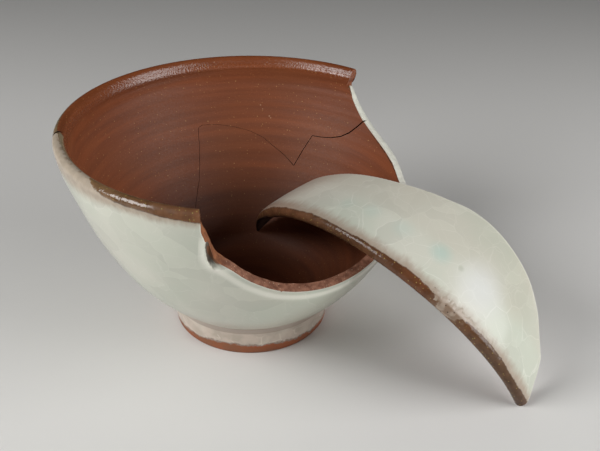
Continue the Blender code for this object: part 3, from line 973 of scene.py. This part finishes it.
def bowl_celadon():
    """Pale crackled celadon: olive brown over the lip, pink on the foot, bare below it."""
    mix = Celadon("bowl_celadon", 0.5, 0.17, 2.0)
    reach = mix.times(mix.along(mix.angle, BOWL_MAUVE_REACH), 10.0)
    mauve = mix.between(mix.ragged_run, reach, mix.times(reach, 0.1), 0.0, 0.9)
    mix.paint(mauve, mix.shade(MAUVE, (mix.mottle, 0.3, 0.7, 0.88, 1.08)))
    painted_hollow_shade, torn = hollow_colours(mix)
    torn_angle = mix.wander(5.0)
    band, over = bowl_lip_colours(mix, torn_angle)
    dry = foot_colours(mix)
    normal = mix.surface(mix.times(band, (over, 1.0, 0.0, 0.12, 1.0)))
    normal = mix.bump(mix.times(mix.noise(0.42 * MM, 1.0), over), 0.22 * MM, normal)
    dull = mix.times((torn_angle, 242.0, 247.0), band)
    gloss = 0.24
    for place, gain in ((band, -0.07), (dull, 0.36), (painted_hollow_shade, 0.4), (over, 0.10),
                        (mix.most(dry, torn), 0.45)):
        gloss = mix.scaled(place, gain, gloss)
    return mix.finish(normal, gloss, mix.between(dull, 0.0, 1.0, 0.5, 0.14))


for material in (bowl_celadon(), bare_clay("bowl_clay"), broken_clay("torn_bowl_clay"),
                 painted_crack_shade()):
    stoneware_bowl.data.materials.append(material)
for cutter in (wall_crack_cutter(), rim_crack_cutter(), nick_cutter()):
    cut(stoneware_bowl, cutter)
stoneware_bowl.data.set_sharp_from_angle(angle=math.radians(55.0))
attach(stoneware_bowl, "root")
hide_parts("bowl")

# The fragment.  The crescent of rim that fell from the bite, the same wall and the
# same glaze, lying glazed side up.
SQUARE_END = smooth_line(((-104.3, 0.0), (-104.1, 4.0), (-103.3, 8.5), (-102.8, 13.5),
                          (-101.5, 19.5)))
LONG_EDGE = smooth_line((
    (-101.5, 19.5), (-96.0, 25.0), (-90.0, 33.2), (-80.0, 41.6),
    (-65.0, 47.2), (-50.0, 47.8), (-38.0, 43.6), (-18.0, 36.8),
    (3.0, 31.6), (18.0, 27.9), (30.0, 23.5), (39.6, 17.6), (44.9, 10.0),
))
POINTED_END = smooth_line(((44.9, 10.0), (46.8, 4.0), (47.6, 0.0)))
# the pointed end broke on a slant: share of the thickness left, against the angle, which is
# moved on by so many degrees for each mm of depth
SLANT = ((18.0, 1.0), (24.0, 0.85), (33.0, 0.48), (40.0, 0.28), (47.6, 0.16))
SLANT_LEAN = 0.35
FRAGMENT_TURN = tuple(math.radians(turn) for turn in (-146.5, -56.1, -177.8))
FRAGMENT_PLACE = Vector((125.9 * MM, 43.8 * MM, 38.1 * MM))
FRAGMENT_COLUMNS = 330
FRAGMENT_ROWS = 74
FRAGMENT_OVER = 16
FRAGMENT_BREAK = 8
LIP_MIDDLE = FRAGMENT_ROWS + FRAGMENT_OVER // 2
FRAGMENT_DRAW = 0.15 * MM        # the fragment's outside is drawn in this much at its edge
FRAGMENT_LUMPS = 0.10 * MM
FRAGMENT_CROWN = 0.3 * MM


def fragment_places():
    """Angle and depth of the fragment's grid, blended between its lip and broken sides."""
    def shared(line, count):
        return spaced(line, np.linspace(0.0, run_along(line)[-1], count))
    left = shared(SQUARE_END, FRAGMENT_ROWS)[:, None]
    right = shared(POINTED_END, FRAGMENT_ROWS)[::-1][:, None]
    bottom = shared(LONG_EDGE, FRAGMENT_COLUMNS)[None]
    top = np.linspace(left[0, 0], right[0, 0], FRAGMENT_COLUMNS)[None]
    u = np.linspace(0.0, 1.0, FRAGMENT_COLUMNS)[None, :, None]
    v = np.linspace(0.0, 1.0, FRAGMENT_ROWS)[:, None, None]
    sides = (1 - u) * left + u * right + (1 - v) * top + v * bottom
    corners = ((1 - u) * (1 - v) * left[0, 0] + u * (1 - v) * right[0, 0]
               + (1 - u) * v * left[-1, 0] + u * v * right[-1, 0])
    grid = sides - corners
    return grid[..., 0], grid[..., 1]


def share_left(angle, depth):
    """The share of the fragment's thickness that is left at a place."""
    along, share = zip(*SLANT)
    return np.interp(angle + SLANT_LEAN * depth / MM, along, share)


def fragment_rows():
    """The fragment's rows of points in the bowl's own frame, their maps, and their slots."""
    angle, depth = fragment_places()
    outline = np.vstack((SQUARE_END, LONG_EDGE[1:], POINTED_END[1:]))
    from_break = distance_to(outline, angle, depth)
    draw = FRAGMENT_DRAW * np.clip(1.0 - from_break / (1.0 * MM), 0.0, 1.0) ** 2
    plain = in_wall(angle, depth, 0.0)
    lumps = FRAGMENT_LUMPS * uneven(plain, LUMP_SIZE, 3) * np.clip(depth / LUMP_FADE, 0, 1)
    outside = in_wall(angle, depth, draw - lumps)
    dig = finger_marks(angle, depth) * np.clip(depth / MARK_FADE, 0.0, 1.0)
    share = share_left(angle, depth)
    inside = in_wall(angle, depth, (thickness(depth) - dig) * share)
    low, high, top = outside[0], inside[0], angle[0]
    tall = np.sqrt(1.0 - (1.0 - share[0]) ** 2)[:, None]
    up = upward(top, 0.0, LIP_RADIUS) * tall * LIP_RADIUS
    over, torn = [], []
    across = np.linspace(0.0, 1.0, FRAGMENT_OVER + 2)[1:-1]
    for way in across:
        chord = low + (high - low) * 0.5 * (1.0 - math.cos(math.pi * way))
        over.append(chord + up * math.sin(math.pi * way))
    down = unit(inside[-1] - inside[-2])
    for way in np.linspace(0.0, 1.0, FRAGMENT_BREAK + 2)[1:-1]:
        chord = inside[-1] + (outside[-1] - inside[-1]) * way
        grain = GRAIN * uneven(chord, GRAIN_SIZE, 5)
        torn.append(chord + down * (grain + FRAGMENT_CROWN * math.sin(math.pi * way))[:, None])
    bands = outside[::-1], np.array(over), inside, np.array(torn)
    side = banded(bands, 0.0, across[:, None], 1.0, 1.0)
    gap = banded(bands, from_break[::-1], 0.5 * FAR, from_break, 0.0)
    angles = banded(bands, angle[::-1], top, angle, angle[-1])
    depths = banded(bands, depth[::-1], 0.0, depth, depth[-1])
    maps = {"edge_place": (side, gap / MM), "wall_place": (angles, depths / MM)}

    slanted = share[:, :-1] < 0.97
    kind = np.zeros((len(side), FRAGMENT_COLUMNS - 1), int)
    kind[FRAGMENT_ROWS + FRAGMENT_OVER:] = INSIDE_CLAY
    clay = kind[FRAGMENT_ROWS + FRAGMENT_OVER:][:FRAGMENT_ROWS]
    clay[slanted] = TORN_CLAY
    kind[LIP_MIDDLE:FRAGMENT_ROWS + FRAGMENT_OVER, slanted[0]] = TORN_CLAY
    kind[2 * FRAGMENT_ROWS + FRAGMENT_OVER - 1:] = TORN_CLAY
    return np.concatenate(bands), kind, maps


def fragment_object():
    """A closed shell from the rows, with its two ends capped."""
    points, kind, maps = fragment_rows()
    rows, columns = points.shape[:2]
    ids = np.arange(rows * columns).reshape(rows, columns)
    below = np.roll(ids, -1, axis=0)
    quads = np.stack((ids[:, :-1], ids[:, 1:], below[:, 1:], below[:, :-1]), -1)
    faces, kinds = quads.reshape(-1, 4).tolist(), kind.reshape(-1).tolist()
    for column, turned in ((0, -1), (columns - 1, 1)):
        ring = ids[:, column]
        for i in range(rows // 2 - 1):
            first, second = (LIP_MIDDLE - 1 - i) % rows, (LIP_MIDDLE + i) % rows
            face = [int(ring[k % rows]) for k in (first, second, second + 1, first - 1)]
            if len(set(face)) == 4:
                faces.append(face[::turned])
                kinds.append(TORN_CLAY)
    mesh, corner = mesh_of("broken_rim", points.reshape(-1, 3), faces, kinds)
    mesh.transform(Matrix.Translation(FRAGMENT_PLACE) @ Euler(FRAGMENT_TURN).to_matrix().to_4x4())
    for label, grid in maps.items():
        pairs = np.stack(grid, axis=-1).reshape(-1, 2)[corner].astype(np.float32)
        mesh.uv_layers.new(name=label).uv.foreach_set("vector", pairs.ravel())
    builder = bmesh.new()
    builder.from_mesh(mesh)
    bmesh.ops.recalc_face_normals(builder, faces=builder.faces)
    builder.to_mesh(mesh)
    builder.free()
    mesh.set_sharp_from_angle(angle=math.radians(50.0))
    return shown("broken_rim", mesh)


BLUE_SPOTS = ((-50.0, 16.5, 7.0, 0.36), (-36.5, 15.0, 7.0, 0.16), (-25.0, 14.5, 6.0, 0.14),
              (-16.0, 12.5, 5.0, 0.10))
FRAGMENT_LIP_END = ((-103, -0.1), (-96, -0.4), (-89, -0.1), (-83, 0.5), (-77, 1.0), (-73, 1.0),
                    (-68.5, 0.4), (-66.0, -0.5), (-64.5, -2.2), (-62.5, -6.5), (-59.0, -6.5),
                    (-57.5, -1.4), (-54.0, -0.1), (-50.0, 0.5), (-43.0, 0.4), (-36.0, 0.0),
                    (-25.0, -0.4), (-10.0, -0.3), (-4.0, -0.7), (1.5, -0.9), (16.0, -1.2),
                    (49.0, -1.6))
# lip tones round the fragment; from 40 degrees on they darken to near black: painted shade at the
# pointed end, which lies in shadow
FRAGMENT_LIP_TONES_AND_TIP_SHADE = ((-103, (92, 71, 58)), (-90, (93, 70, 53)), (-80, (95, 70, 51)),
                      (-66, (98, 67, 46)), (-50, (97, 60, 39)), (-36, (92, 62, 42)),
                      (-22, (94, 67, 48)), (0, (106, 71, 48)), (30, (98, 66, 44)),
                      (40, (70, 46, 32)), (48, (30, 20, 16)))
FRAGMENT_MATTE = ((-103, 0.05), (-78, 0.02), (-34, 0.0), (-18, 0.1), (10, 0.25), (49, 0.3))


def fragment_celadon(laid):
    """The same celadon, with blue spots, runs over the lip and pinholes."""
    mix = Celadon("fragment_celadon", 0.34, 0.31, 2.4, laid)
    angle, run, level = mix.angle, mix.run, mix.ragged_run
    mix.paint((mix.add(mix.depth, mix.ragged), 15.0, 24.0), (190, 182, 166), 0.3)
    for at, deep, reach, strength in BLUE_SPOTS:
        mix.paint(mix.near(at, deep, reach, 0.5), (150, 196, 188), strength)
    mix.paint(mix.near(-57.5, 17.0, 2.0, 0.3), (176, 178, 158), 0.7)
    # painted reflection: a pale neutral patch where the right lamp's broad reflection falls on the
    # fragment's glaze
    mix.paint(mix.near(-66.0, 16.0, 17.0, 0.8), (204, 206, 205), 0.6)
    mix.paint((level, 6.0, 0.3, 0.0, 0.9), (166, 148, 132))
    mix.paint((mix.gap, 1.2, 0.2, 0.0, 0.6), (226, 222, 210))
    torn_angle = mix.wander(7.0)
    band = mix.lip_band(mix.level(torn_angle, FRAGMENT_LIP_END))
    tone = mix.along(angle, FRAGMENT_LIP_TONES_AND_TIP_SHADE)
    tone = mix.shade(tone, mix.clouded(2.0 * MM, 0.3, 0.7, 0.82, 1.18))
    fleck, _ = mix.specks(1.2 * MM, 0.30 * MM, 0.5)
    mix.paint(band, mix.blend(mix.times(fleck, 0.75), tone, (172, 150, 88)))
    bare = mix.times((torn_angle, -68.0, -65.0), (torn_angle, -54.0, -57.0),
                     (run, 0.6, -0.6), (mix.mottle, 0.40, 0.62, 0.25, 0.8))
    mix.paint(bare, (122, 98, 78))
    runny = mix.times((angle, -80.0, -76.0), (angle, -50.0, -56.0), (level, 3.0, 0.5))
    holes, _ = mix.specks(1.6 * MM, 0.36 * MM, 0.6)
    mix.paint(mix.times(holes, runny), (58, 44, 36), 0.9)
    clay_start = mix.add(run, 0.93 * LIP_ARC)
    mix.paint((clay_start, 0.25, -0.25), clay_colour(mix, mix.depth)[0])
    gloss = mix.scaled(band, -0.07, 0.24)
    gloss = mix.add(mix.times(mix.along(angle, FRAGMENT_MATTE), band), gloss)
    worn = mix.times(band, (angle, -78.0, -90.0))
    return mix.finish(mix.surface(mix.most(band, runny)), gloss, mix.between(worn, 0.0, 1.0, 0.28, 0.12))


broken_rim = fragment_object()
broken_rim.location = BOWL_AXIS
FRAGMENT_LAID = (FRAGMENT_PLACE, FRAGMENT_TURN)
# the 0.2 given to broken_clay is painted shade on the torn faces near the pointed end
for material in (fragment_celadon(FRAGMENT_LAID), bare_clay("fragment_clay", FRAGMENT_LAID),
                 broken_clay("torn_fragment_clay", 0.2)):
    broken_rim.data.materials.append(material)
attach(broken_rim, "root")
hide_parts("rim_fragment")

# The studio: a plain pale table under soft lights.
floor_mesh = bpy.data.meshes.new("table")
floor_mesh.from_pydata([(-4, -4, 0), (4, -4, 0), (4, 4, 0), (-4, 4, 0)], [], [(0, 1, 2, 3)])
floor = shown("table", floor_mesh)
table_top = bpy.data.materials.new("table_top")
table_top.use_nodes = True
table_shader = table_top.node_tree.nodes["Principled BSDF"].inputs
table_shader["Base Color"].default_value = (0.68, 0.67, 0.65, 1.0)
table_shader["Roughness"].default_value = 0.9
floor_mesh.materials.append(table_top)


def softbox(name, azimuth, elevation, distance, size, watts):
    """A soft square lamp facing the bowl."""
    lamp = bpy.data.lights.new(name, "AREA")
    lamp.shape = "SQUARE"
    lamp.size = size
    lamp.energy = watts
    holder = shown(name, lamp)
    a, e = math.radians(azimuth), math.radians(elevation)
    away = Vector((math.cos(a) * math.cos(e), math.sin(a) * math.cos(e), math.sin(e)))
    holder.location = BOWL_AXIS + Vector((0.02, 0.0, 0.04)) + away * distance
    holder.rotation_euler = (-away).to_track_quat("-Z", "Y").to_euler()


softbox("left_softbox", -157.0, 31.5, 0.85, 0.46, 6.45)
softbox("right_softbox", -22.0, 22.0, 0.70, 0.46, 4.25)
softbox("front_bounce", -90.0, 16.0, 1.0, 0.40, 0.45)
world = bpy.data.worlds.new("studio")
bpy.context.scene.world = world
world.use_nodes = True
world.node_tree.nodes["Background"].inputs["Color"].default_value = (1.0, 0.98, 0.96, 1.0)
world.node_tree.nodes["Background"].inputs["Strength"].default_value = 0.015
bpy.context.scene.view_settings.view_transform = "Standard"

CAMERA_PLACE = Vector((0.0, -0.328956, 0.24144))
CAMERA_PITCH = math.radians(30.845)
CAMERA_YAW = math.radians(3.885)
CAMERA_ROLL = math.radians(1.0)
camera = shown("camera", bpy.data.cameras.new("camera"))
camera.data.lens = 51.0
camera.data.sensor_width = 36.0
camera.data.clip_start = 0.01
ahead = Vector((math.sin(CAMERA_YAW) * math.cos(CAMERA_PITCH),
                math.cos(CAMERA_YAW) * math.cos(CAMERA_PITCH), -math.sin(CAMERA_PITCH)))
level = Vector((math.cos(CAMERA_YAW), -math.sin(CAMERA_YAW), 0.0))
upright = level.cross(ahead)
right = math.cos(CAMERA_ROLL) * level + math.sin(CAMERA_ROLL) * upright
above = math.cos(CAMERA_ROLL) * upright - math.sin(CAMERA_ROLL) * level
camera.matrix_world = Matrix.Translation(BOWL_AXIS + CAMERA_PLACE) @ Matrix(
    (right, above, -ahead)).transposed().to_4x4()
bpy.context.scene.camera = camera
